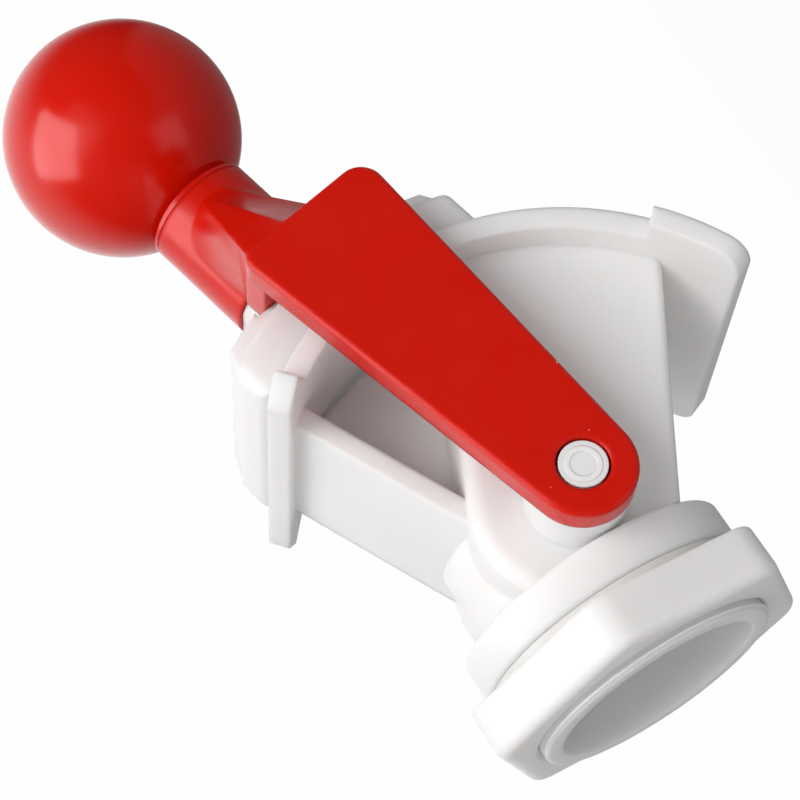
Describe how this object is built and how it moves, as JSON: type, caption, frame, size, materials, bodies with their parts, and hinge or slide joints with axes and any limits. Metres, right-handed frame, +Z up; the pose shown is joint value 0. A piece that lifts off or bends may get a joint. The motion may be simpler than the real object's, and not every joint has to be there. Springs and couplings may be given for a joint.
{
  "type": "honey gate valve",
  "caption": "Plastic gate valve with a threaded inlet and hexagonal nut; a lever with a ball knob swings a curved shutter over the outlet.",
  "frame": {"origin": "centre of the flange's seating face, on the inlet tube's axis", "axes": "+X along the tube towards the outlet, +Z up in the plane in which the lever swings, Y along the pivot axis with the lever's arm on the -Y side"},
  "size_m": [0.205, 0.0874, 0.1214],
  "materials": {
    "white_body": "satin",
    "white_nut": "satin",
    "seal": "matte",
    "white_pin": "satin",
    "red_lever": "semi-gloss",
    "white_shutter": "satin",
    "red_knob": "gloss"
  },
  "bodies": {
    "housing": {"valve_body": "white_body", "flange_gasket": "seal", "pivot_pin": "white_pin"},
    "gate_lever": {"lever": "red_lever", "shutter": "white_shutter", "ball_knob": "red_knob"},
    "nut": {"hex_nut": "white_nut"}
  },
  "joints": [
    {"name": "lever_swing", "type": "hinge", "parent": "housing", "child": "gate_lever", "pos_m": [0.0213, 0, 0], "axis": [0, -1, 0], "range_deg": [-44, 9]},
    {"name": "nut_turn", "type": "hinge", "parent": "housing", "child": "nut", "pos_m": [-0.0085, 0, 0], "axis": [1, 0, 0], "continuous": true}
  ]
}
